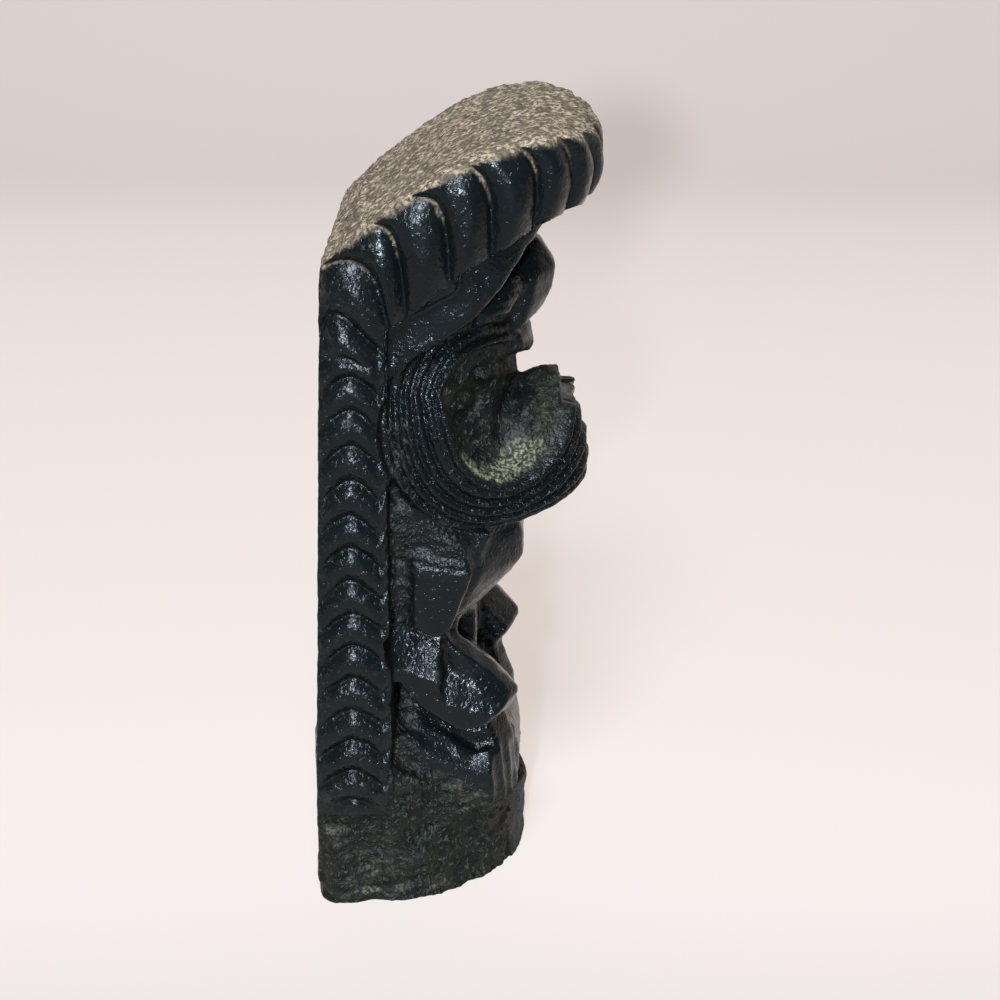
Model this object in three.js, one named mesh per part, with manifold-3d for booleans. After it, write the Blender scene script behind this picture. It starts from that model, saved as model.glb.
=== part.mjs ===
// A carved-stone style tiki figurine, cast in one piece: a rough plinth, a squatting figure with
// its hands on its thighs, a wide ringed mouth and a deep lobed headdress, all on a flat back slab
// whose two sides carry a stack of arched ridges.
import * as THREE from 'three';
import { ConvexGeometry } from 'three/addons/geometries/ConvexGeometry.js';
import { mergeVertices } from 'three/addons/utils/BufferGeometryUtils.js';
import Module from 'manifold-3d';

const wasm = await Module();
wasm.setup();

// Overall size, in millimetres.
const figureWidth = 69;
const figureDepth = 58.6;
const totalHeight = 165;

// Plinth: a block with a rough skin, low at the front edge and high under the heels.
const plinthWidth = 63;
const plinthDepth = 45;
const plinthFrontHeight = 19;
const plinthHeelHeight = 40;
const plinthBackCorner = 10;
const rockRelief = 1.1;

// Side bands: arched ridges one above the other, from the plinth up to the headdress.
const ridgePitch = 7.1;
const ridgeRelief = 1.9;
const bandBulge = 1.6;

// Headdress lobes, counted along its rim.
const lobePitch = 8.3;
const lobeRelief = 2.4;
const lobeSlant = 0.75;

// Mouth: ridges laid side by side around the opening.
const mouthRidges = 5;
const mouthRidgeRadius = 1.35;
const hollowDepth = 6.5;

// The carving is drawn in millimetres on a figure of this size and follows the sizes above.
const drawnWidth = 69;
const drawnDepth = 57.7;
const drawnHeight = 165;
const drawnPlinth = 19;
const wide = figureWidth / drawnWidth;
const deep = figureDepth / drawnDepth;
const tall = (totalHeight - plinthFrontHeight) / (drawnHeight - drawnPlinth);

// Everything is modelled as x to the side, forward from the back and z up. The last step turns
// forward into -Y.
function at(x, forward, z) {
  return new THREE.Vector3(x * wide, forward * deep, plinthFrontHeight + (z - drawnPlinth) * tall);
}

// A geometry reduced to its corner points, each shared by the faces that meet there.
function joined(geometry) {
  geometry.deleteAttribute('normal');
  geometry.deleteAttribute('uv');
  return mergeVertices(geometry, 1e-4);
}

// A geometry's closed surface as a solid, its triangles facing outward.
function solid(geometry) {
  const merged = joined(geometry);
  const points = merged.attributes.position;
  const triangles = Array.from(merged.index.array);
  const [a, b, c] = [new THREE.Vector3(), new THREE.Vector3(), new THREE.Vector3()];
  let volume = 0;
  for (let i = 0; i < triangles.length; i += 3) {
    a.fromBufferAttribute(points, triangles[i]);
    b.fromBufferAttribute(points, triangles[i + 1]);
    c.fromBufferAttribute(points, triangles[i + 2]);
    volume += a.dot(b.cross(c));
  }
  if (volume < 0) triangles.reverse();
  return new wasm.Manifold(new wasm.Mesh({
    numProp: 3,
    vertProperties: new Float32Array(points.array),
    triVerts: new Uint32Array(triangles),
  }));
}

// A height read between the points of an outline that runs along its first coordinate.
function along(outline, value) {
  let i = 1;
  while (i < outline.length - 1 && value > outline[i][0]) i += 1;
  const [x0, y0] = outline[i - 1];
  const [x1, y1] = outline[i];
  return THREE.MathUtils.lerp(y0, y1, THREE.MathUtils.clamp((value - x0) / (x1 - x0), 0, 1));
}

// A side outline of [forward, z] points carried across the figure from x0 to x1.
function prism(outline, x0, x1) {
  const shape = new THREE.Shape(outline.map(([forward, z]) => {
    const point = at(0, forward, z);
    return new THREE.Vector2(point.y, point.z);
  }));
  const geometry = new THREE.ExtrudeGeometry(shape, { depth: (x1 - x0) * wide, bevelEnabled: false });
  geometry.applyMatrix4(new THREE.Matrix4().makeBasis(
    new THREE.Vector3(0, 1, 0), new THREE.Vector3(0, 0, 1), new THREE.Vector3(1, 0, 0)));
  geometry.translate(x0 * wide, 0, 0);
  return solid(geometry);
}

// The faceted block spanned by cross sections, each an x with a side outline of [forward, z].
function block(sections, side) {
  const points = sections.flatMap(({ x, outline }) =>
    outline.map(([forward, z]) => at(side * x, forward, z)));
  return solid(new ConvexGeometry(points));
}

// A carved sheet: a box whose near face follows outer(u, v) and whose far face follows inner(u, v).
function sheet(columns, rows, outer, inner) {
  const geometry = new THREE.BoxGeometry(1, 1, 1, columns, rows, 1);
  const points = geometry.attributes.position;
  for (let i = 0; i < points.count; i += 1) {
    const face = points.getZ(i) > 0 ? outer : inner;
    const point = face(points.getX(i) + 0.5, points.getY(i) + 0.5);
    points.setXYZ(i, point.x, point.y, point.z);
  }
  return solid(geometry);
}

// An ellipsoid knob with its half sizes, turned about z by the angle.
function knob(center, half, turn = 0, sides = 10) {
  const geometry = new THREE.SphereGeometry(1, sides, Math.round(sides * 0.7));
  geometry.scale(half[0] * wide, half[1] * deep, half[2] * tall);
  geometry.rotateZ(turn);
  geometry.translate(center.x, center.y, center.z);
  return solid(geometry);
}

// Plinth. Its plan is round at the front and nearly square at the back, its top slopes down from
// the heels to the toes, and its sides are broken like rock except on the underside and the back.
function plinth() {
  const geometry = joined(new THREE.CylinderGeometry(1, 1, 1, 36, 5));
  geometry.rotateX(Math.PI / 2);
  const points = geometry.attributes.position;
  const backHalf = plinthBackCorner;
  const frontHalf = plinthDepth - backHalf;
  const slope = (plinthHeelHeight - plinthFrontHeight) / (plinthDepth - backHalf);
  for (let i = 0; i < points.count; i += 1) {
    const across = points.getX(i);
    const ahead = points.getY(i);
    const level = points.getZ(i) + 0.5;
    const square = ahead < 0 ? 0.3 : 1;
    const lump = Math.sin(5 * across + 9 * level) * Math.sin(7 * ahead - 6 * level + 2 * across);
    const rough = ahead > -0.05 ? rockRelief * (lump - 1) * Math.min(1, 4 * level) : 0;
    const x = Math.sign(across) * Math.abs(across) ** square * (plinthWidth / 2 + rough);
    const y = Math.sign(ahead) * Math.abs(ahead) ** square * ((ahead < 0 ? backHalf : frontHalf) + rough);
    const top = plinthFrontHeight + slope * Math.min(frontHalf - y, frontHalf) + 1.4 * rough;
    points.setXYZ(i, x, backHalf + y, level * top);
  }
  return solid(geometry);
}

// Back slab, leaning a little forward as it rises to the headdress's rear edge.
const backLean = 4.7;
const rearEdge = 141;
function leanAt(z) {
  return backLean * z / rearEdge;
}
function slab() {
  return prism([[leanAt(5), 5], [16, 5], [16, 130], [22, 138], [leanAt(rearEdge), rearEdge]], -28.5, 28.5);
}

// One side band: half-round across, with ridges arched like gull wings.
function band(side) {
  const [low, high] = [20, rearEdge];
  const [back, front, face] = [0, 16.5, 31.2];
  const length = (high - low) * tall;
  const ridges = Math.round(length / ridgePitch);
  const outer = (u, v) => {
    const z = THREE.MathUtils.lerp(low, high, v);
    const start = back + leanAt(z);
    const across = THREE.MathUtils.lerp(start, front, u);
    const arch = u < 0.55 ? 0.55 * ((0.55 - u) / 0.55) ** 1.5 : 0.95 * ((u - 0.55) / 0.45) ** 1.4;
    const phase = v * ridges + arch;
    const tooth = Math.sin(Math.PI * (phase - Math.floor(phase))) ** 0.6;
    const round = Math.sin(Math.PI * u) ** 0.7;
    const foot = Math.min(1, v * ridges / 1.5);
    const x = face - 1.4 * (1 - foot) + (bandBulge + ridgeRelief * (tooth - 0.5)) * round * foot;
    return at(side * x, across, z);
  };
  const inner = (u, v) => {
    const z = THREE.MathUtils.lerp(low, high, v);
    return at(side * 26, THREE.MathUtils.lerp(back + leanAt(z), front, u), z);
  };
  return sheet(5, ridges * 4, outer, inner);
}

// Headdress: its side outlines, its plan and the lobes around its rim.
const crownTop = [[leanAt(rearEdge), rearEdge], [12, 148], [20, 154], [28, 159.4], [37, 163.2],
  [45.5, 165], [52.6, 164], [58, 162]];
const rimRear = 122;
const rimBottom = [[leanAt(rearEdge), rimRear], [18, 129], [28, 137.5], [38, 143.5], [47, 148.5], [58, 149]];
const rimHalfWidth = 32.6;
const rimCorner = 28;
const rimFront = 55.2;
const rimTaper = 3.2;

// A point of the rim's plan, at a share of its way from one rear corner round to the other.
function rimPlan(share, inset) {
  const away = Math.abs(share - 0.5) * 2;
  const side = Math.sign(share - 0.5);
  const rear = leanAt(rearEdge);
  const straight = 0.4;
  const half = rimHalfWidth - inset;
  if (away > 1 - straight) {
    const backward = (away - 1 + straight) / straight;
    return [side * (half - rimTaper * backward ** 2), THREE.MathUtils.lerp(rimCorner, rear, backward)];
  }
  const angle = away / (1 - straight) * Math.PI / 2;
  return [side * half * Math.sin(angle) ** 0.83,
    rimCorner + (rimFront - inset - rimCorner) * Math.cos(angle) ** 0.83];
}

function rim() {
  const pathLength = 142 * wide;
  const lobes = Math.round(pathLength / lobePitch);
  const outer = (u, v) => {
    const slant = lobeSlant * (1 - v) ** 0.6;
    const phase = u < 0.5 ? u * lobes - slant : (1 - u) * lobes - slant;
    const lobe = Math.abs(Math.sin(Math.PI * phase)) ** 0.6;
    const round = Math.sin(Math.PI * (0.1 + 0.9 * v)) ** 0.5;
    const [x, forward] = rimPlan(u, -(0.6 + lobeRelief * lobe) * round + 1.8 * (1 - v) ** 2);
    const [, edge] = rimPlan(u, 0);
    const bottom = along(rimBottom, edge) + 1.2 * (1 - lobe);
    const top = along(crownTop, edge) - 0.4 - 1.6 * (1 - lobe);
    return at(x, forward, THREE.MathUtils.lerp(bottom, top, v));
  };
  const inner = (u, v) => {
    const [x, forward] = rimPlan(u, 6);
    const [bottom, top] = [along(rimBottom, forward) + 3, along(crownTop, forward) - 4];
    return at(x, forward, THREE.MathUtils.lerp(bottom, top, v));
  };
  return sheet(lobes * 5, 4, outer, inner);
}

// The headdress is cut from a blank that stands taller and wider than its finished form.
function crown() {
  const blankTop = drawnHeight + 3;
  const blankBottom = rimRear - 22;
  const roofOutline = [...crownTop, [58, blankBottom], [leanAt(rearEdge), blankBottom]];
  const roof = prism(roofOutline, -drawnWidth, drawnWidth);
  const core = sheet(36, 1, (u, v) => {
    const [x, forward] = rimPlan(u, 0.4);
    return at(x, forward, THREE.MathUtils.lerp(along(rimBottom, forward) + 5, blankTop, v));
  }, (u, v) => {
    const [x, forward] = rimPlan(u, 0.4);
    return at(x * 0.1, leanAt(rearEdge) + (forward - leanAt(rearEdge)) * 0.2,
      THREE.MathUtils.lerp(rimRear + 4, blankTop, v));
  });
  const rear = prism([[leanAt(rearEdge), rimRear], [30, rimRear + 14], [30, blankTop],
    [leanAt(rearEdge), blankTop]], -30.6, 30.6);
  return core.add(rear).intersect(roof).add(rim());
}

// Brow: the smooth tier under the lobes, arching forward over the face.
function brow() {
  const outline = [[10, 110], [15.5, 113], [18.4, 118.5], [25, 124], [33, 129.5], [38.5, 136], [43, 143],
    [46, 146.5], [52, 148], [52, 153], [36, 153], [12, 136]];
  const plan = sheet(30, 1, (u, v) => {
    const [x, forward] = rimPlan(u, 4.2);
    return at(x, forward, THREE.MathUtils.lerp(105, 158, v));
  }, (u, v) => {
    const [x] = rimPlan(u, 4.2);
    return at(x * 0.9, leanAt(rearEdge) + 2, THREE.MathUtils.lerp(105, 158, v));
  });
  return prism(outline, -30, 30).intersect(plan);
}

// Head: a front outline from the chin's underside to the forehead and a half width, both read at z.
const headFront = [[80, 38], [81.4, 43], [83, 48.2], [85.2, 51.2], [87.6, 53.6], [90.5, 54.6],
  [95.4, 54.4], [99.6, 53.6], [104, 52.2], [108, 50.6], [110.6, 48.4], [112.2, 46.6], [114, 43.4],
  [120, 41.5], [126, 40], [134, 41], [148, 45]];
const headHalf = [[80, 19], [82.6, 23], [86, 26], [94, 27.5], [108, 27.6], [118, 26], [128, 24], [148, 24]];
const headBack = 14;
function headPoint(turn, z) {
  const angle = turn * Math.PI / 2;
  const front = along(headFront, z);
  return [along(headHalf, z) * Math.sin(angle), headBack + (front - headBack) * Math.cos(angle)];
}

function head() {
  const [low] = headFront[0];
  const [high] = headFront[headFront.length - 1];
  const outer = (u, v) => {
    const z = THREE.MathUtils.lerp(low, high, v);
    const [x, forward] = headPoint(2 * u - 1, z);
    return at(x, forward, z);
  };
  const inner = (u, v) => {
    const z = THREE.MathUtils.lerp(low, high, v);
    return at((2 * u - 1) * 15, 10, z);
  };
  const jaw = [[8, 106], [15.6, 104], [17, 98], [21, 91], [27, 84.5], [34, 81], [42, 79], [50, 78], [60, 78]];
  const blank = prism([...jaw, [60, high + 2], [8, high + 2]], -drawnWidth, drawnWidth);
  return sheet(12, 11, outer, inner).intersect(blank);
}

// Mouth ridges run in closed loops round both corners of the mouth: ridge n reaches sideways by
// reach(n), stands height(n) tall over the corners and crosses the middle at dip(n) below.
const mouthLevel = 108;
const cornerTurn = 0.54;
const turnPerMillimetre = 0.02;
function ridgePoint(n, angle) {
  const corner = cornerTurn / turnPerMillimetre;
  const reach = 38.4 + 2.4 * n;
  const tallness = 13.6 + 2.6 * n;
  const middle = Math.sin(angle) > 0 ? 10 + 3 * n : -4 + 5.6 * n;
  const share = corner / reach;
  const swell = (tallness / Math.sqrt(1 - share * share) - middle) / share ** 1.3;
  const p = reach * Math.cos(angle);
  const q = Math.sin(angle) * (middle + swell * Math.abs(Math.cos(angle)) ** 1.3);
  const z = Math.min(mouthLevel + q, 146);
  const [x, forward] = headPoint(p * turnPerMillimetre, z);
  return [x, forward, z];
}

function mouthRidge(n, side) {
  const steps = 16;
  const points = [];
  for (let i = 0; i <= steps; i += 1) {
    const angle = THREE.MathUtils.lerp(-0.53, 0.53, i / steps) * Math.PI;
    const [x, forward, z] = ridgePoint(n, angle);
    points.push(at(side * x, forward, z));
  }
  const section = new THREE.Shape();
  for (let i = 0; i < 5; i += 1) {
    const turn = 2 * Math.PI * i / 5;
    section[i ? 'lineTo' : 'moveTo'](mouthRidgeRadius * Math.cos(turn), mouthRidgeRadius * Math.sin(turn));
  }
  const geometry = new THREE.ExtrudeGeometry(section, {
    steps: 15,
    bevelEnabled: false,
    extrudePath: new THREE.CatmullRomCurve3(points),
  });
  return solid(geometry);
}

function mouthCorner(side) {
  const [x, forward] = headPoint(cornerTurn, mouthLevel);
  return { center: at(side * x, forward, mouthLevel), turn: side * -0.98 };
}

// The waist of the mouth: a gap between the lips that opens into the hollows at both corners.
function lipGap(side) {
  return block([
    { x: -0.5, outline: [[41.3, 110.2], [60, 117.6], [60, 120], [41.3, 114.2]] },
    { x: 9, outline: [[40, 106], [60, 112], [60, 119.4], [40, 117]] },
    { x: 17, outline: [[36, 101], [60, 106], [60, 121], [36, 118]] },
  ], side);
}

// Chest and belly under the chin, and the shoulders beside them.
function torso() {
  const chest = [[14, 84], [41, 83], [42.7, 79], [42.7, 73.6], [39.2, 69.2], [31, 60], [14, 52]];
  const flank = [[14, 84], [32, 82], [34, 74], [30, 66], [24, 60], [14, 52]];
  const belly = prism([[14, 42], [31, 42], [33, 50], [33, 62], [36, 69], [14, 72]], -11, 11);
  return block([{ x: 23, outline: flank }, { x: 11, outline: chest }, { x: -11, outline: chest },
    { x: -23, outline: flank }], 1).add(belly);
}

function arm(side) {
  const shoulder = block([{ x: 10, outline: [[14, 96], [30, 90], [34, 78], [14, 70]] },
    { x: 26.6, outline: [[14, 93], [22, 90], [32, 81], [31, 72], [14, 68]] }], side);
  const upper = block([{ x: 20, outline: [[19.5, 80.5], [32.5, 78.5], [28, 63], [20.5, 61]] },
    { x: 28.6, outline: [[20.5, 79.8], [33, 77.4], [28, 64], [21, 61]] }], side);
  const hand = block([{ x: 19, outline: [[16, 63], [27.4, 61], [28, 52], [20, 53]] },
    { x: 27, outline: [[16.5, 63.5], [22, 65], [28, 61], [28.8, 54], [26.8, 50.6], [20.4, 53.6],
      [16.4, 59]] },
    { x: 29.6, outline: [[19, 62], [25, 60.6], [27, 57], [26.4, 53], [21, 56]] }], side);
  return shoulder.add(upper).add(hand);
}

// Legs: a thigh coming forward to a pointed knee, a short calf and a foot sloping down to its toes.
function leg(side) {
  const thigh = block([
    { x: 10, outline: [[14, 56], [27, 57], [36, 50], [39.6, 46], [37, 43], [14, 44]] },
    { x: 19, outline: [[14, 60], [28.6, 60.4], [36.4, 53.6], [42.4, 47], [40, 42.6], [36, 40], [14, 42]] },
    { x: 27.6, outline: [[16, 56], [28.6, 57.6], [36, 51.6], [38.6, 46.6], [35, 42.4], [30.4, 41.2],
      [18, 50]] },
  ], side);
  const calf = block([
    { x: 9, outline: [[14, 46], [36, 43], [39.4, 34], [39, 28], [14, 24]] },
    { x: 14, outline: [[14, 46], [38, 42.5], [41.2, 34], [41, 28], [14, 24]] },
    { x: 20.4, outline: [[14, 46], [34, 43], [37.6, 34], [35, 28], [14, 24]] },
  ], side);
  const foot = block([
    { x: 7.5, outline: [[14, 46], [37.4, 33.4], [38.6, 31], [39, 20], [22, 18], [14, 30]] },
    { x: 25.6, outline: [[14, 45], [17.4, 43.4], [34.4, 31.4], [34.8, 24], [30, 19.5], [20, 25], [14, 36]] },
  ], side);
  const sole = block([{ x: 8, outline: [[14, 18], [40.2, 18], [40.2, 32], [14, 42]] },
    { x: 21, outline: [[14, 18], [38, 18], [38, 32], [14, 42]] }], side);
  let whole = thigh.add(calf).add(foot).add(sole);
  const toes = 5;
  for (let i = 0; i < toes; i += 1) {
    const share = i / (toes - 1);
    const geometry = new THREE.CylinderGeometry(2.1, 2.3, 13.6, 7);
    geometry.rotateX(Math.PI / 2);
    geometry.rotateX(0.08);
    const outward = THREE.MathUtils.lerp(9.6, 24, share);
    const place = at(side * outward, 39.8 - 4.6 * share ** 2, 26.6 + 0.8 * share);
    geometry.translate(place.x, place.y, place.z);
    whole = whole.add(solid(geometry));
  }
  return whole;
}

// Face: a nose that flares towards its nostrils, slanting eyes beside it and an upper lip.
function face() {
  const ridge = [[38, 143], [45.6, 138.6], [48.7, 133.5], [47.9, 128.7], [46.2, 125], [38, 122]];
  const nostril = [[36, 134], [44.8, 133], [43.4, 127], [42, 122.4], [36, 121]];
  const nose = block([{ x: -9.4, outline: nostril }, { x: -2.6, outline: ridge }, { x: 2.6, outline: ridge },
    { x: 9.4, outline: nostril }], 1);
  const lip = block([{ x: -9, outline: [[34, 121], [42, 121], [42.6, 116], [40, 111], [34, 110]] },
    { x: 0, outline: [[36, 122], [43.8, 121.6], [44.7, 117], [43.6, 113], [42.2, 109.6], [34, 108]] },
    { x: 9, outline: [[34, 121], [42, 121], [42.6, 116], [40, 111], [34, 110]] }], 1);
  let whole = nose.add(lip);
  for (const side of [-1, 1]) {
    const eye = new THREE.SphereGeometry(1, 9, 6);
    eye.scale(8 * wide, 3.8 * deep, 4 * tall);
    eye.rotateY(side * 0.5);
    eye.rotateZ(side * -0.62);
    const place = at(side * 14.6, 37.4, 129.6);
    eye.translate(place.x, place.y, place.z);
    whole = whole.add(solid(eye));
  }
  return whole;
}

// The heart of the block behind the carving, and the stone left standing between the legs.
function core() {
  const between = prism([[14, 17], [41.8, 17], [42.4, 27], [40.6, 33], [36, 40], [14, 44]], -9.5, 9.5);
  const outline = [[5, 12], [36, 12], [38, 26], [34, 30], [34, 44], [28, 56], [31, 66], [32, 74], [36, 84],
    [28, 112], [30, 134], [30, 145], [12, 140]];
  const neck = prism([[14, 74], [34, 77], [36.5, 83], [33, 88], [14, 92]], -22.6, 22.6);
  const back = prism([[5, 60], [26, 76], [26, 86], [22.5, 112], [22.5, 122.4], [12, 132]], -25.4, 25.4);
  return prism(outline, -19, 19).add(neck).add(back).add(between);
}

function figure() {
  let whole = plinth().add(slab()).add(core()).add(brow()).add(torso());
  let skull = head();
  for (const side of [-1, 1]) {
    const { center, turn } = mouthCorner(side);
    skull = skull.subtract(knob(center, [11, hollowDepth, 12.6], turn));
  }
  whole = whole.add(skull).add(face()).add(crown());
  for (const side of [-1, 1]) whole = whole.subtract(lipGap(side));
  for (const side of [-1, 1]) {
    whole = whole.add(band(side)).add(arm(side)).add(leg(side));
    for (let n = 0; n < mouthRidges; n += 1) whole = whole.add(mouthRidge(n, side));
    for (const [turn, z] of [[0.74, 110], [0.68, 116], [0.34, 108]]) {
      const [x, forward] = headPoint(turn, z);
      whole = whole.add(knob(at(side * x * 0.93, forward - 1.4, z), [2.2, 2.2, 2], 0, 6));
    }
  }
  return whole;
}

// The triangles of the outer skin. Where carved blocks meet they can enclose a bubble, which the
// casting doesn't have, so only the largest set of triangles that share corners is kept.
function outerSkin(triangles) {
  const leader = new Map();
  const find = (corner) => {
    let top = corner;
    while (leader.has(top)) top = leader.get(top);
    if (top !== corner) leader.set(corner, top);
    return top;
  };
  for (let i = 0; i < triangles.length; i += 3) {
    for (const next of [triangles[i + 1], triangles[i + 2]]) {
      const [a, b] = [find(triangles[i]), find(next)];
      if (a !== b) leader.set(b, a);
    }
  }
  const shells = new Map();
  for (let i = 0; i < triangles.length; i += 3) {
    const shell = find(triangles[i]);
    if (!shells.has(shell)) shells.set(shell, []);
    shells.get(shell).push(triangles[i], triangles[i + 1], triangles[i + 2]);
  }
  return [...shells.values()].reduce((best, shell) => (shell.length > best.length ? shell : best));
}

// The solid as a mesh, with forward turned into -Y and the middle of its depth over the origin.
function toGeometry(body) {
  const mesh = body.getMesh();
  const geometry = new THREE.BufferGeometry();
  const points = Float32Array.from(mesh.vertProperties);
  for (let i = 1; i < points.length; i += 3) points[i] = -points[i];
  geometry.setAttribute('position', new THREE.BufferAttribute(points, 3));
  geometry.setIndex(outerSkin(Array.from(mesh.triVerts).reverse()));
  geometry.computeBoundingBox();
  geometry.translate(0, -(geometry.boundingBox.min.y + geometry.boundingBox.max.y) / 2, 0);
  geometry.computeVertexNormals();
  return geometry;
}

const blackStone = new THREE.MeshStandardMaterial({ color: 0x23282a, roughness: 0.38, metalness: 0 });
const tiki = new THREE.Mesh(toGeometry(figure()), blackStone);
tiki.name = 'tiki_figure';

const group = new THREE.Group();
group.add(tiki);

export default group;
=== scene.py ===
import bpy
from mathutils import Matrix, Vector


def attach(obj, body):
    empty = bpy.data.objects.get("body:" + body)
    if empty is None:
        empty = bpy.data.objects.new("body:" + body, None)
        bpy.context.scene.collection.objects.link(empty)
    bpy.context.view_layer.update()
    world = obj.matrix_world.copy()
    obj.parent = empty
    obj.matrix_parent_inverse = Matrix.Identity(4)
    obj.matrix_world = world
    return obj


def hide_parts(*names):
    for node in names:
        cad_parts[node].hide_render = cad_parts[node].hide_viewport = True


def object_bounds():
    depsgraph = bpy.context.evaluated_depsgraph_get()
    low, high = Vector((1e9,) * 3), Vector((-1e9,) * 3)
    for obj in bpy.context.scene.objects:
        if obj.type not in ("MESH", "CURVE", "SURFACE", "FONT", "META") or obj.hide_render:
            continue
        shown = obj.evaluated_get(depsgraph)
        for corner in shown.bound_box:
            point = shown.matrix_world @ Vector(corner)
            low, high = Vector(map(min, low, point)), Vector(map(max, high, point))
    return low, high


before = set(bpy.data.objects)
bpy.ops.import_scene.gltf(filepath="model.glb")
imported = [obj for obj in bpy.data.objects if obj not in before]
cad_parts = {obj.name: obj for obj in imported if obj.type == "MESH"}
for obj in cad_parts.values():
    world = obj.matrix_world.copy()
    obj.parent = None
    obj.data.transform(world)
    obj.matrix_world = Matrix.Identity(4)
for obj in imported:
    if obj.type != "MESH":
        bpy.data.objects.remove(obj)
cad_box = [list(corner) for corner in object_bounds()]

import math

import bmesh
import bpy
import numpy as np
from mathutils import Matrix, Vector

# The casting. One piece of black stone resin: plinth, slab, figure and headdress together. Its
# form is the solid's own, closed into one even skin that the carving below can be cut into.
mm = 0.001
weld_distance = 0.01 * mm
first_skin = 0.6 * mm
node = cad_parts["tiki_figure"]
rough_form = bmesh.new()
rough_form.from_mesh(node.data)
bmesh.ops.remove_doubles(rough_form, verts=rough_form.verts, dist=weld_distance)
bmesh.ops.recalc_face_normals(rough_form, faces=rough_form.faces)
casting_mesh = bpy.data.meshes.new("casting")
rough_form.to_mesh(casting_mesh)
rough_form.free()
casting = bpy.data.objects.new("casting", casting_mesh)
bpy.context.scene.collection.objects.link(casting)


def apply_modifiers(piece):
    evaluated = piece.evaluated_get(bpy.context.evaluated_depsgraph_get())
    finished = bpy.data.meshes.new_from_object(evaluated)
    piece.modifiers.clear()
    piece.data = finished


def close_skin(piece, size, passes):
    skin = piece.modifiers.new("skin", "REMESH")
    skin.mode = "VOXEL"
    skin.voxel_size = size
    softening = piece.modifiers.new("softening", "SMOOTH")
    softening.factor = 0.5
    softening.iterations = passes
    apply_modifiers(piece)


close_skin(casting, first_skin, 3)


# Coordinates for the carver, in millimetres: x to the side, forward from the back, z up, on the
# same drawn size as the solid.
figure_depth = 58.6
drawn_depth = 57.7
deep = figure_depth / drawn_depth
cad_low, cad_high = (Vector(corner) for corner in cad_box)
box_inset = 1e-6


def read_points(mesh):
    flat = np.empty(len(mesh.vertices) * 3)
    mesh.vertices.foreach_get("co", flat)
    points = flat.reshape(-1, 3) / mm
    return np.stack([points[:, 0], (cad_high.y / mm - points[:, 1]) / deep, points[:, 2]], axis=1)


def write_points(mesh, drawn):
    points = np.stack([drawn[:, 0], cad_high.y / mm - drawn[:, 1] * deep, drawn[:, 2]], axis=1) * mm
    points = np.clip(points, np.array(cad_low) + box_inset, np.array(cad_high) - box_inset)
    mesh.vertices.foreach_set("co", points.ravel())
    mesh.update()


def read_normals(mesh):
    flat = np.empty(len(mesh.vertices) * 3)
    mesh.vertices.foreach_get("normal", flat)
    normals = flat.reshape(-1, 3)
    normals[:, 1] *= -1
    return normals


def ramp(low, high, value):
    """A smooth step from 0 at low to 1 at high."""
    t = np.clip((value - low) / (high - low), 0, 1)
    return t * t * (3 - 2 * t)


def ripple(points, size, seed):
    """A smooth lumpy field between -1 and 1, with lumps of about this size in millimetres."""
    waves, usual_peak = 9, 4.2
    random = np.random.default_rng(seed)
    field = np.zeros(len(points))
    for _ in range(waves):
        direction = random.normal(size=3)
        direction *= 2 * math.pi / (size * random.uniform(0.8, 1.7)) / np.linalg.norm(direction)
        bend = random.normal(size=3) * 1.3 / size
        field += np.sin(points @ direction + random.uniform(0, 6.3) + 1.4 * np.sin(points @ bend))
    return field / usual_peak


# Hands, thighs and feet. Their outer faces are pared back to slopes that catch the light from
# above: each hand slopes down over its thigh, and each foot has a worn edge along its top. The
# rear corners of the headdress are rounded off in the same way.
hand_half, hand_slope, hand_low = 29.6, 0.62, 51.0
thigh_half, thigh_slope, thigh_low = 28.0, 0.7, 47.5
foot_half, foot_slope, foot_high = 25.4, 0.8, 35.5
heel, toe = 17.4, 42
thigh_underside = ([17.8, 22.2, 30.7, 38.4, 42], [52, 45.5, 40.6, 42.6, 47])
crown_top = ([4.7, 12, 20, 28, 37, 45.5, 52.6, 58], [141, 148, 154, 159.4, 163.2, 165, 164, 162])
corner_half = 28.2


def pare(points, limit, zone):
    """Bring the zone's points in to this distance from the middle plane, on both sides."""
    x = np.abs(points[:, 0])
    points[:, 0] = np.where(zone & (x > limit), np.sign(points[:, 0]) * limit, points[:, 0])


drawn = read_points(casting.data)
x, forward, z = np.abs(drawn[:, 0]), drawn[:, 1], drawn[:, 2]

behind = np.maximum(22 - forward, 0)
hand_fall = np.maximum(z - hand_low - 0.4 * behind, 0) * np.clip((z - 50.5 - 1.2 * behind) / 1.5, 0, 1)
on_hand = (forward > 15.5) & (forward < 27.8) & (x > 18)
on_hand = on_hand & (z > 49) & (z < 64 - 0.45 * np.maximum(forward - 22, 0))
pare(drawn, hand_half - hand_slope * hand_fall, on_hand)

thigh_edge = thigh_low - 0.3 * (forward - 26)
above = np.maximum(z - 54.5 + 0.75 * (forward - 26.5), 0)
thigh = thigh_half - thigh_slope * np.maximum(z - thigh_edge, 0)
thigh = thigh + thigh_slope * above - 0.45 * np.maximum(forward - 30, 0) * np.clip(above / 4, 0, 1)
knee = 34 - 0.55 * np.maximum(forward - 30, 0)
on_thigh = (forward >= 26.6) & (forward < 43) & (z > 40) & (z < 62) & (x > 13)
pare(drawn, np.minimum(thigh, knee), on_thigh)

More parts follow.
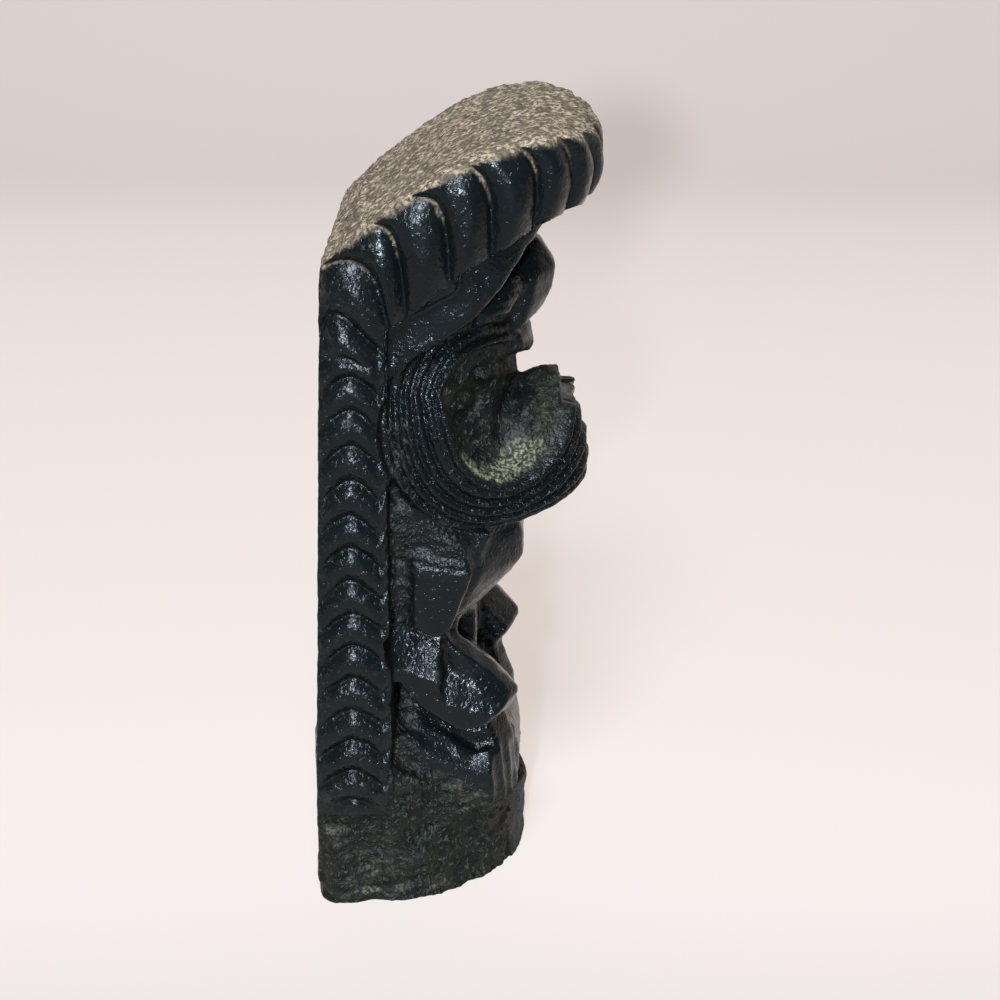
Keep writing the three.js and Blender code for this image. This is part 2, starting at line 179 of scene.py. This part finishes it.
foot_edge = 43.4 - 0.7 * (forward - heel) - 4.2
foot_worn = np.maximum(z - foot_high + 0.3 * (forward - heel), 0)
foot_worn = foot_slope * foot_worn * np.clip((toe - forward) / 9, 0, 1) * np.clip((z - foot_edge) / 1.5, 0, 1)
on_foot = (forward > 16.8) & (forward < toe) & (x > 17)
on_foot = on_foot & (z > foot_edge) & (z < np.interp(forward, *thigh_underside))
pare(drawn, foot_half - foot_worn, on_foot)

crown_height = np.interp(forward, *crown_top)
rounded_corner = corner_half + 3.4 * np.clip((forward - 6) / 18, 0, 1) + 0.9 * np.clip(crown_height - z, 0, 4)
pare(drawn, rounded_corner, (forward < 24) & (z > crown_height - 4))
write_points(casting.data, drawn)
carving_skin = 0.45 * mm
close_skin(casting, carving_skin, 8)


# Side bands and headdress rim. Carved ridges: arched like gull wings up both sides of the slab,
# turning level round the rear corner of the headdress and curling down along its rim as lobes.
ridge_pitch = 7.12
lobe_pitch = 9.27
band_low = 20.0
band_half, band_draw, band_bulge, ridge_relief = 31.2, 1.4, 1.6, 2.4
band_front = 16.8
rear_edge = 141.0
lean = 4.7
arch_rise = 0.63
fan_forward, fan_level = 19.0, 121.0
fan_edge = ([0, 22, 44, 54.4, 75.5, 90], [15, 15.9, 20.1, 24.6, 27.9, 32.3])
fan_grooves = ([0, 23.6, 47, 78, 92], [14.85, 16, 17, 18, 19])
fan_last = 19
rim_bottom = ([4.7, 18, 28, 38, 47, 58], [122, 129, 137.5, 143.5, 148.5, 149])
rim_half, rim_corner, rim_front, rim_taper = 32.6, 28.0, 55.2, 3.2
rim_start = 20
rim_power = 2.41
rim_arc = 43.0
lobe_rise = 3.3


def arch(across):
    """How far a ridge drops, in ridges, away from the middle of its band."""
    return arch_rise * np.clip(np.abs(across - 0.48) / 0.42, 0, 1) ** 1.5


def lobe_profile(phase):
    """A carved lobe: a crisp rear edge, a full back and a slow fall into the next groove."""
    t = phase - np.floor(phase)
    rear = np.sin(0.5 * np.pi * np.clip(t / 0.4, 0, 1)) ** 0.6
    front = np.cos(0.5 * np.pi * np.clip((t - 0.4) / 0.6, 0, 1)) ** 0.55
    return np.where(t < 0.4, rear, front)


def curl(level, forward):
    """How far a groove runs on forward, in lobes, on its way down from the top edge."""
    strength = 1.05 - 0.43 * ramp(24, 36, forward)
    return strength * (1 - np.exp(-(1 - level) / 0.2))


def rim_relief(lobes, level):
    roundness = np.sin(np.pi * (0.1 + 0.9 * np.clip(level, 0, 0.995))) ** 0.5
    return (lobe_rise * lobes - 0.1) * roundness - 1.8 * (1 - level) ** 2


def rim_span(forward):
    return np.interp(forward, *crown_top), np.interp(forward, *rim_bottom)


def unsteady(points, z):
    """Heights as the carver's hand met them, a little off level."""
    return z + 0.45 * ripple(points, 13.0, 21)


def side_lobes(forward, z):
    """Lobes of the fan and of the straight side of the rim, with their level from bottom to top."""
    theta = np.degrees(np.arctan2(np.maximum(z - fan_level, 0), fan_forward - forward + 1e-6))
    radius = np.hypot(z - fan_level, fan_forward - forward)
    inner = 2.5 + 6.35 * np.clip(theta / 90, 0, 1)
    fan_height = np.clip((radius - inner) / (np.interp(theta, *fan_edge) - inner), 0, 1)
    top, bottom = rim_span(forward)
    rim_height = np.clip((z - bottom) / (top - bottom), 0, 1)
    in_fan = forward < fan_forward
    level = np.where(in_fan, fan_height, rim_height)
    fan_phase = np.interp(theta, *fan_grooves)
    rim_phase = fan_last + (forward - rim_start) / lobe_pitch
    turned = ramp(12, 45, theta)
    shift = -curl(level, forward) * turned + (arch(level) - arch_rise) * (1 - turned)
    phase = np.where(in_fan, fan_phase, rim_phase) + shift
    return lobe_profile(phase), level, theta


def carve_sides(points, normals):
    x, forward, z = points.T.copy()
    z = unsteady(points, z)
    side = np.sign(x)
    back = lean * z / rear_edge
    across = np.clip((forward - back) / (16.5 - back), 0, 1)
    phase = (z - band_low) / ridge_pitch + arch(across) - 0.4 * ramp(0.86, 1.0, across)
    t = phase - np.floor(phase)
    rise, fall = np.sin(0.5 * np.pi * t / 0.55), np.cos(0.5 * np.pi * (t - 0.55) / 0.45)
    ridge = np.where(t < 0.55, np.abs(rise) ** 0.7, np.abs(fall) ** 0.5)
    swell = np.sin(np.pi * np.clip(across, 0.02, 0.98)) ** 0.55
    foot = np.clip((z - band_low) / 9, 0, 1)
    worn = 1 + 0.16 * ripple(points, 9.0, 22)
    relief = (band_bulge + ridge_relief * (ridge - 0.66) * worn) * swell * foot
    band_x = band_half - band_draw * (1 - foot) + relief

    lobes, level, theta = side_lobes(forward, z)
    backward = np.clip((rim_corner - forward) / (rim_corner - lean), 0, 1)
    rim_x = rim_half - rim_taper * backward ** 2 + rim_relief(lobes, level)
    fan_share = ramp(0, 28, theta) * (z > fan_level)
    side_x = band_x * (1 - fan_share) + np.maximum(rim_x, 29.6) * fan_share

    top, bottom = rim_span(forward)
    under_top = z < top - 0.5
    on_band = (forward < band_front) & (z > band_low - 1) & under_top & (np.abs(x) > 28.6)
    on_rim = (forward >= band_front) & (forward < rim_corner) & (z > bottom - 0.6) & under_top
    on_rim = on_rim & (np.abs(x) > 29)
    share = ramp(-0.1, 0.3, side * normals[:, 0])
    target = np.where(on_band, side_x, np.where(on_rim, rim_x, np.abs(x)))
    points[:, 0] = side * (np.abs(x) + (target - np.abs(x)) * share)


def front_lobes(points):
    """Lobes round the front of the rim, with their level and how far out each point lies."""
    x, forward, z = points.T
    z = unsteady(points, z)
    ahead = np.maximum(forward - rim_corner, 0)
    px, pf = np.abs(x) / rim_half, ahead / (rim_front - rim_corner)
    reach = (px ** rim_power + pf ** rim_power) ** (1 / rim_power)
    angle = np.arctan2(pf ** (rim_power / 2), px ** (rim_power / 2))
    top, bottom = rim_span(forward)
    level = np.clip((z - bottom) / (top - bottom), 0, 1)
    path = rim_corner - rim_start + angle / (0.5 * np.pi) * rim_arc
    middle = fan_last + (rim_corner - rim_start + rim_arc) / lobe_pitch
    left_to_go = middle - fan_last - path / lobe_pitch
    phase = fan_last + path / lobe_pitch - curl(level, forward) * ramp(0, 0.6, left_to_go)
    return lobe_profile(np.minimum(phase, middle)), level, reach, px, pf


def carve_rim_front(points, normals):
    x, forward, z = points.T.copy()
    lobes, level, reach, px, pf = front_lobes(points)
    top, bottom = rim_span(forward)
    zone = (forward >= rim_corner) & (z > bottom - 0.6) & (z < top - 0.5) & (reach > 0.88)
    outward = np.sign(x) * normals[:, 0] * px + normals[:, 1] * pf
    outward = outward / np.maximum(np.hypot(px, pf), 1e-6)
    share = np.where(zone, ramp(-0.1, 0.3, outward), 0)
    wanted = 1 + rim_relief(lobes, level) / 30.0
    factor = 1 + (wanted / np.maximum(reach, 1e-6) - 1) * share
    points[:, 0] = x * factor
    points[:, 1] = np.where(forward >= rim_corner, rim_corner + (forward - rim_corner) * factor, forward)


# Mouth. Ridges laid side by side in closed loops round both corners of a figure-eight mouth, the
# innermost one bolder as a lip, and three small knobs raised in the hollow of each corner.
front_heights = [80, 81.4, 83, 85.2, 87.6, 90.5, 95.4, 99.6, 104, 108, 110.6, 112.2, 114, 120, 126, 134, 148]
front_places = [38, 43, 48.2, 51.2, 53.6, 54.6, 54.4, 53.6, 52.2, 50.6, 48.4, 46.6, 43.4, 41.5, 40, 41, 45]
head_half = ([80, 82.6, 86, 94, 108, 118, 128, 148], [19, 23, 26, 27.5, 27.6, 26, 24, 24])
under_brow_line = ([14, 18.4, 25, 33, 38.5, 43], [112, 118, 123.5, 128.5, 135, 142])
head_back = 14.0
mouth_level = 108.0
corner_distance = 27.0
turn_per_mm = 0.02
ring_pitch = 0.82
ring_relief = 1.7
lip_relief = 1.7
head_radius = 32.0
knobs = ((31.0, 110.0), (42.6, 106.5), (35.0, 115.0))


def ring_level(p, q, lower):
    """How many ridges out from the mouth's edge a place on the head lies."""
    low, high = np.full(len(p), -4.0), np.full(len(p), 9.0)
    for _ in range(24):
        n = (low + high) / 2
        reach, tallness = 38.4 + 2.4 * n, 13.6 + 2.6 * n
        middle = np.where(lower, -4 + 5.6 * n, 10 + 3 * n)
        share = corner_distance / reach
        swell = (tallness / np.sqrt(1 - share ** 2) - middle) / share ** 1.3
        cosine = np.clip(p / reach, 0, 1)
        height = np.sqrt(1 - cosine ** 2) * (middle + swell * cosine ** 1.3)
        inside = (p < reach) & (q < height)
        high = np.where(inside, n, high)
        low = np.where(inside, low, n)
    return (low + high) / 2


def head_coordinates(points):
    """How far out from the head's axis each point lies, and its place among the mouth's ridges."""
    x, forward, z = points.T
    half, front = np.interp(z, *head_half), np.interp(z, front_heights, front_places)
    px, pf = np.abs(x) / half, np.maximum(forward - head_back, 0) / (front - head_back)
    reach = np.hypot(px, pf)
    p = np.arctan2(px, pf) / (0.5 * np.pi) / turn_per_mm
    q = z - mouth_level
    return reach, ring_level(p, np.abs(q), q < 0)


def clear_of_upper_lip(x, z):
    return np.where(z > 106, ramp(10.5, 13.0, np.abs(x)), 1.0)


def carve_mouth(points, normals):
    x, forward, z = points.T.copy()
    reach, level = head_coordinates(points)
    t = level / ring_pitch + 0.5
    t = t - np.floor(t)
    ridge = np.clip(1 - np.abs(2 * t - 1) ** 1.8, 0, 1) ** 0.7
    fade = ramp(-0.55, -0.35, level) * (1 - ramp(4.3, 4.6, level)) * (1 - 0.8 * ramp(122, 128, z))
    under_brow = 1 - ramp(-3, 0, z - np.interp(forward, *under_brow_line))
    zone = (reach > 0.84) & (z > 79) & (forward > 13) & (z < 140)
    outward = (np.sign(x) * normals[:, 0] * np.abs(x) + normals[:, 1] * (forward - head_back))
    outward = outward / np.maximum(np.hypot(x, forward - head_back), 1e-6)
    share = fade * clear_of_upper_lip(x, z) * under_brow * ramp(-0.25, 0.05, outward)
    share = np.where(zone, share, 0) * ramp(0.88, 0.93, reach)
    raised_lip = lip_relief * np.exp(-((level - 0.1) / 0.5) ** 2)
    wanted = 1 + (ring_relief * (ridge - 0.25) + raised_lip) / head_radius
    factor = 1 + (wanted / np.maximum(reach, 1e-6) - 1) * share
    points[:, 0] = x * factor
    points[:, 1] = head_back + (forward - head_back) * factor


def raise_knobs(points):
    x, forward, z = np.abs(points[:, 0]), points[:, 1], points[:, 2]
    _, level = head_coordinates(points)
    for knob_forward, knob_z in knobs:
        away = np.hypot(forward - knob_forward, z - knob_z)
        rise = 2.6 * np.exp(-(away / 1.25) ** 2) - 1.0 * np.exp(-((away - 2.5) / 0.6) ** 2)
        points[:, 0] += np.sign(points[:, 0]) * rise * ((level < -0.4) & (x > 8) & (x < 27))


# The hollows at the corners of the mouth run into the gap between the lips as one smooth dish.
# It is smoothed first, and then all the carving is cut in one go.
drawn = read_points(casting.data)
reach, ring_place = head_coordinates(drawn)
dish = ramp(-0.2, -0.9, ring_place) * ramp(1.04, 0.97, reach) * (drawn[:, 2] > 93) * (drawn[:, 2] < 122)
dish = dish * (np.abs(drawn[:, 0]) > 3) * (drawn[:, 1] > 22)
dish_group = casting.vertex_groups.new(name="dish")
for index in np.flatnonzero(dish > 0.05):
    dish_group.add([int(index)], float(dish[index]), "REPLACE")
blending = casting.modifiers.new("blending", "SMOOTH")
blending.factor = 0.6
blending.iterations = 40
blending.vertex_group = "dish"
apply_modifiers(casting)

drawn = read_points(casting.data)
normals = read_normals(casting.data)
carve_sides(drawn, normals)
carve_rim_front(drawn, normals)
carve_mouth(drawn, normals)
raise_knobs(drawn)
write_points(casting.data, drawn)


# Surface left by the carver and the mould: broken rock on the plinth, a coarse skin in the deep
# grooves and on the chest, and sand on top of the headdress.
triangle_budget = 196000


def share_of_rock(points):
    x, forward, z = points.T
    slope_top = 19 + (45 - np.clip(forward, 10, 45)) * 0.6
    plinth = 1 - ramp(-2, 3, z - slope_top)
    groove = ramp(15.6, 17.2, forward) * (1 - ramp(19.5, 22.5, forward)) * (1 - ramp(104, 112, z))
    groove = groove * (1 - ramp(49, 51, z) * (1 - ramp(63, 65, z)))
    chest = ramp(77, 81, z) * (1 - ramp(84, 92, z)) * ramp(15, 17, forward) * (1 - ramp(30, 37, forward))
    on_band = (forward < 15.8) & (z > band_low + 3)
    return np.where(on_band, 0.12, np.clip(plinth + 0.8 * groove + 0.4 * chest, 0, 1))


def share_of_sand(points, normals):
    x, forward, z = points.T
    top = np.interp(forward, *crown_top)
    return ramp(-2.2, -0.5, z - top) * ramp(0.2, 0.5, normals[:, 2])


def share_of_hollow(points, ring_place):
    x, forward, z = points.T
    return ramp(0.0, -0.5, ring_place) * (z > 92) * (z < 125) * (forward > 20)


relax = casting.modifiers.new("relax", "SMOOTH")
relax.factor = 0.4
relax.iterations = 1
apply_modifiers(casting)
drawn = read_points(casting.data)
normals = read_normals(casting.data)
x, forward, z = drawn.T
_, ring_place = head_coordinates(drawn)
off_back = forward - lean * z / rear_edge
rock = share_of_rock(drawn) + 0.45 * share_of_hollow(drawn, ring_place)
rock = rock * ramp(0.3, 1.6, z) * ramp(0.1, 1.2, off_back)
bare_front = (np.abs(x) < 13) & (z < 18) & (forward > 40)
rock = np.where(bare_front, 0.15 * rock, rock)
lumps = 0.5 * ripple(drawn, 9.0, 3) + 0.3 * ripple(drawn, 3.6, 4) + 0.22 * ripple(drawn, 1.6, 5)
grit = 0.13 * ripple(drawn, 1.5, 6) + 0.07 * ripple(drawn, 0.95, 7)
worked = 0.11 * ripple(drawn, 5.0, 8) + 0.05 * ripple(drawn, 2.4, 9)
depth = rock * (lumps - 0.25) + share_of_sand(drawn, normals) * grit + worked
write_points(casting.data, drawn + normals * depth[:, None])

thinning = casting.modifiers.new("thinning", "DECIMATE")
triangles = sum(len(face.vertices) - 2 for face in casting.data.polygons)
thinning.ratio = min(1.0, triangle_budget / triangles)
apply_modifiers(casting)
write_points(casting.data, read_points(casting.data))
casting.data.shade_smooth()

# Where each finish lies, kept as an attribute of the skin for the material to read: sand on top
# and in the grooves of the rim, rock, two kinds of pale dust, and the ridges round the mouth.
drawn = read_points(casting.data)
normals = read_normals(casting.data)
x, forward, z = drawn.T
reach, ring_place = head_coordinates(drawn)
hollow = share_of_hollow(drawn, ring_place)
crescent = ramp(-0.3, -0.5, ring_place) * ramp(-1.35, -0.9, ring_place) * ramp(102.5, 99, z)
mouth_dust = crescent * (z > 88) * ramp(25, 29, forward) * ramp(50, 46, forward)
mouth_dust = np.maximum(mouth_dust, 0.16 * hollow * ramp(42, 48, forward) * ramp(114, 106, z))
plinth_dust = ramp(-0.2, 0.5, normals[:, 2]) * share_of_rock(drawn) * (z < 34) * (z > 3)
worn_patch = np.exp(-((forward - 32) / 5) ** 2 - ((z - 15) / 3.5) ** 2) * (np.abs(x) > 12)
plinth_dust = np.maximum(plinth_dust, 1.2 * worn_patch)

straight, straight_level, _ = side_lobes(forward, z)
curved, curved_level, _, _, _ = front_lobes(drawn)
lobes = np.where(forward < rim_corner, straight, curved)
level = np.where(forward < rim_corner, straight_level, curved_level)
in_groove = ramp(0.32, 0.1, lobes) * ramp(0.5, 0.8, level) * (z > 140) * (np.abs(x) > 12)

on_cheek = ramp(0.86, 0.95, reach) * (z > 80) * (forward > 14.5) * ramp(-0.4, -0.2, ring_place)
rings = on_cheek * (1 - ramp(4.5, 4.9, ring_place)) * clear_of_upper_lip(x, z) * (1 - ramp(122, 128, z))
finishes = {"sand": np.maximum(share_of_sand(drawn, normals), 0.6 * in_groove),
            "rock": np.maximum(share_of_rock(drawn), 0.9 * hollow),
            "mouth_dust": mouth_dust, "plinth_dust": plinth_dust, "rings": rings}
finishes = {name: np.clip(values, 0, 1) for name, values in finishes.items()}
finishes["ring_place"] = ring_place
for name, values in finishes.items():
    attribute = casting.data.attributes.new(name, "FLOAT", "POINT")
    attribute.data.foreach_set("value", values.astype(np.float32))


class Socket:
    """A shader value. Python's operators on it add the Math nodes that work it out."""

    def __init__(self, tree, output):
        self.tree, self.output = tree, output

    def maths(self, operation, *values):
        return add_node(self.tree, "ShaderNodeMath", {"operation": operation}, dict(enumerate(values)))

    def __add__(self, other):
        return self.maths("ADD", self, other)

    def __mul__(self, other):
        return self.maths("MULTIPLY", self, other)

    def __sub__(self, other):
        return self.maths("SUBTRACT", self, other)

    def __rsub__(self, other):
        return self.maths("SUBTRACT", other, self)

    def __truediv__(self, other):
        return self.maths("DIVIDE", self, other)

    __radd__, __rmul__ = __add__, __mul__

    def wave(self):
        return self.maths("SINE", self) * 0.5 + 0.5

    def clamp(self, low=0.0, high=1.0):
        return self.maths("MINIMUM", self.maths("MAXIMUM", self, low), high)

    def step(self, low, high):
        return add_node(self.tree, "ShaderNodeMapRange", {"interpolation_type": "SMOOTHSTEP"},
                        {"Value": self, "From Min": low, "From Max": high})

    def mix(self, first, second):
        """The first colour where this value is 0 and the second where it is 1."""
        return add_node(self.tree, "ShaderNodeMix", {"data_type": "RGBA"}, {0: self, 6: first, 7: second}, 2)


def add_node(tree, kind, settings=(), sockets=(), output=0):
    shader_node = tree.nodes.new(kind)
    for name, value in dict(settings).items():
        setattr(shader_node, name, value)
    for name, value in dict(sockets).items():
        if isinstance(value, Socket):
            tree.links.new(value.output, shader_node.inputs[name])
        else:
            shader_node.inputs[name].default_value = value
    return Socket(tree, shader_node.outputs[output])


# Finish of the casting: black lacquer over stone resin, glossy and a little uneven on the carved
# faces, gritty where the stone is left rough, with sand bonded on top and pale dust in the hollows.
deep_black, worn_black = (0.0018, 0.0028, 0.003, 1), (0.0038, 0.0055, 0.0056, 1)
dark_stone, grey_stone = (0.0008, 0.001, 0.0008, 1), (0.0062, 0.0066, 0.0042, 1)
pale_chip = (0.048, 0.049, 0.038, 1)
dark_sand, pale_sand, damp_sand = (0.08, 0.059, 0.039, 1), (0.36, 0.265, 0.178, 1), (0.078, 0.057, 0.037, 1)
dark_dust, pale_dust = (0.03, 0.031, 0.017, 1), (0.16, 0.15, 0.095, 1)
grain_depth = 0.4 * mm
lacquer = bpy.data.materials.new("black_stone")
lacquer.use_nodes = True
tree = lacquer.node_tree
surface = tree.nodes["Principled BSDF"]
place = add_node(tree, "ShaderNodeTexCoord", output="Object")


def noise(scale, detail=2.0):
    return add_node(tree, "ShaderNodeTexNoise", {}, {"Vector": place, "Scale": scale, "Detail": detail})


def finish(name):
    return add_node(tree, "ShaderNodeAttribute", {"attribute_name": name}, {}, "Fac")


sand_mask = finish("sand")
rock_mask = finish("rock")
rings_mask = finish("rings")
grains = noise(1500, 1.0)
specks = noise(900)
patches = noise(110, 3.0)
broad = noise(45)
mottle = noise(320, 3.0)

black = patches.mix(deep_black, worn_black)
stone = mottle.step(0.4, 0.6).mix(dark_stone, grey_stone)
stone = (specks.step(0.56, 0.68) * 0.6).mix(stone, pale_chip)
body = (rock_mask * 0.85).mix(black, stone)
sand_tone = noise(1100).step(0.38, 0.62).mix(dark_sand, pale_sand)
sand_tone = (noise(420, 3.0).step(0.44, 0.6) * 0.8).mix(sand_tone, damp_sand)
body = sand_mask.mix(body, sand_tone)
dust_tone = grains.step(0.42, 0.6).mix(dark_dust, pale_dust)
mouth_powder = (finish("mouth_dust") * noise(700).step(0.3, 0.55)).clamp()
plinth_powder = finish("plinth_dust") * broad.step(0.44, 0.62) * noise(500).step(0.4, 0.6) * 0.5
powder = mouth_powder.maths("MAXIMUM", mouth_powder, plinth_powder.clamp())
body = powder.mix(body, dust_tone)
tree.links.new(body.output, surface.inputs["Base Color"])

gloss = 0.18 + patches * 0.13 + rock_mask * 0.3
roughness = gloss + (sand_mask * 0.55).clamp() + powder * 0.4
tree.links.new(roughness.clamp(0.05, 0.95).output, surface.inputs["Roughness"])
fine_rings = (finish("ring_place") * (2 * math.pi / ring_pitch)).wave() * rings_mask
coarse = (rock_mask + sand_mask + rings_mask * 0.6).clamp()
height = grains * (0.3 + coarse * 0.55) + specks.step(0.5, 0.75) * (0.3 + coarse * 1.1)
height = height + patches * 0.3 + fine_rings * 0.8
bump = add_node(tree, "ShaderNodeBump", {}, {"Strength": 0.8, "Distance": grain_depth, "Height": height})
tree.links.new(bump.output, surface.inputs["Normal"])
surface.inputs["Specular IOR Level"].default_value = 0.18
casting.data.materials.clear()
casting.data.materials.append(lacquer)
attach(casting, "root")
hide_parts("tiki_figure")

# Floor and backdrop: one sweep of pale card that curves up behind the figure. It glows, and the glow is
# painted light: strongest on the floor round and behind the figure, where it fills in the overhead light's
# shadow over a card colour kept darker than the wall's; weaker and warm on the wall, where it tints the
# shadow; and dim on the near side, painted shade that keeps the figure's flat faces from mirroring a bright
# floor. So the floor stays even.
sweep_profile = [(-1.2, 0.0), (0.36, 0.0), (0.46, 0.02), (0.52, 0.09), (0.54, 0.2), (0.54, 1.4)]
sweep_half = 2.2
# The floor's card colour is darker than the wall's, and the painted glow makes up its brightness, so that the
# lamps' shadows on the floor stay faint. near_glow is the dim glow, painted shade on the near floor; far_glow
# fills in the overhead light's shadow; wall_glow is warm and tints the shadow on the wall.
floor_tone, wall_tone = (0.16, 0.15, 0.145, 1), (0.25, 0.23, 0.22, 1)
near_glow, far_glow, wall_glow = (0.04, 0.035, 0.03, 1), (0.66, 0.58, 0.53, 1), (0.34, 0.26, 0.22, 1)
sweep = bmesh.new()
rail = [sweep.verts.new((x_at, -sweep_half, z_at)) for x_at, z_at in sweep_profile]
edges = [sweep.edges.new(pair) for pair in zip(rail, rail[1:])]
swept = bmesh.ops.extrude_edge_only(sweep, edges=edges)
far_rail = [corner for corner in swept["geom"] if isinstance(corner, bmesh.types.BMVert)]
bmesh.ops.translate(sweep, verts=far_rail, vec=(0, 2 * sweep_half, 0))
bmesh.ops.recalc_face_normals(sweep, faces=sweep.faces)
backdrop_mesh = bpy.data.meshes.new("backdrop")
sweep.to_mesh(backdrop_mesh)
sweep.free()
backdrop = bpy.data.objects.new("backdrop", backdrop_mesh)
bpy.context.scene.collection.objects.link(backdrop)
curve_up = backdrop.modifiers.new("curve_up", "SUBSURF")
curve_up.levels = curve_up.render_levels = 4
backdrop_mesh.shade_smooth()

card = bpy.data.materials.new("pale_card")
card.use_nodes = True
card_tree = card.node_tree
card_surface = card_tree.nodes["Principled BSDF"]
where = add_node(card_tree, "ShaderNodeTexCoord", output="Object")
upright = add_node(card_tree, "ShaderNodeSeparateXYZ", {}, {"Vector": where}, "Z").step(0.0, 0.045)
far_side = add_node(card_tree, "ShaderNodeSeparateXYZ", {}, {"Vector": where}, "X").step(-0.26, 0.0)
card_tone = upright.mix(floor_tone, wall_tone)
# Painted light: the card's glow by place, dim near the camera, bright on the floor round the figure, warm on
# the wall.
glow = upright.mix(far_side.mix(near_glow, far_glow), wall_glow)
card_tree.links.new(card_tone.output, card_surface.inputs["Base Color"])
card_tree.links.new(glow.output, card_surface.inputs["Emission Color"])
card_surface.inputs["Emission Strength"].default_value = 1.0
card_surface.inputs["Roughness"].default_value = 0.9
backdrop_mesh.materials.append(card)


# Light: a soft light overhead on the camera's side, which draws the sheen on every upward slope, a
# small one beside the camera, and a pale room around.
def area_light(name, place, target, size, power, colour):
    data = bpy.data.lights.new(name, "AREA")
    data.shape = "DISK"
    data.size, data.energy, data.color = size, power, colour
    lamp = bpy.data.objects.new(name, data)
    bpy.context.scene.collection.objects.link(lamp)
    lamp.location = place
    lamp.rotation_euler = (Vector(target) - Vector(place)).to_track_quat("-Z", "Y").to_euler()


area_light("overhead", (-0.60, 0.05, 0.86), (0.05, 0, 0.08), 0.30, 17.0, (0.76, 0.87, 1.0))
area_light("beside_camera", (-0.84, 0.066, 0.335), (0, 0, 0.1), 0.05, 12.0, (0.74, 0.85, 0.95))
room = bpy.data.worlds.new("room")
bpy.context.scene.world = room
room.use_nodes = True
room.node_tree.nodes["Background"].inputs["Color"].default_value = (0.86, 0.94, 1.0, 1)
room.node_tree.nodes["Background"].inputs["Strength"].default_value = 0.09
bpy.context.scene.view_settings.view_transform = "Standard"

# Camera: on the figure's right side, a hand above it and looking down.
camera_place = (-0.3908, -0.0129, 0.2419)
yaw, pitch, roll = math.radians(0.54), math.radians(22.3), math.radians(0.23)
camera_data = bpy.data.cameras.new("camera")
camera = bpy.data.objects.new("camera", camera_data)
bpy.context.scene.collection.objects.link(camera)
camera_data.sensor_width = 36.0
camera_data.lens = 72.0
camera_data.clip_start = 0.01
ahead = Vector((math.cos(pitch) * math.cos(yaw), math.cos(pitch) * math.sin(yaw), -math.sin(pitch)))
level_right = Vector((math.sin(yaw), -math.cos(yaw), 0))
level_up = level_right.cross(ahead)
right = level_right * math.cos(roll) + level_up * math.sin(roll)
up = level_up * math.cos(roll) - level_right * math.sin(roll)
turned = Matrix((right, up, -ahead)).transposed().to_4x4()
camera.matrix_world = Matrix.Translation(camera_place) @ turned
bpy.context.scene.camera = camera
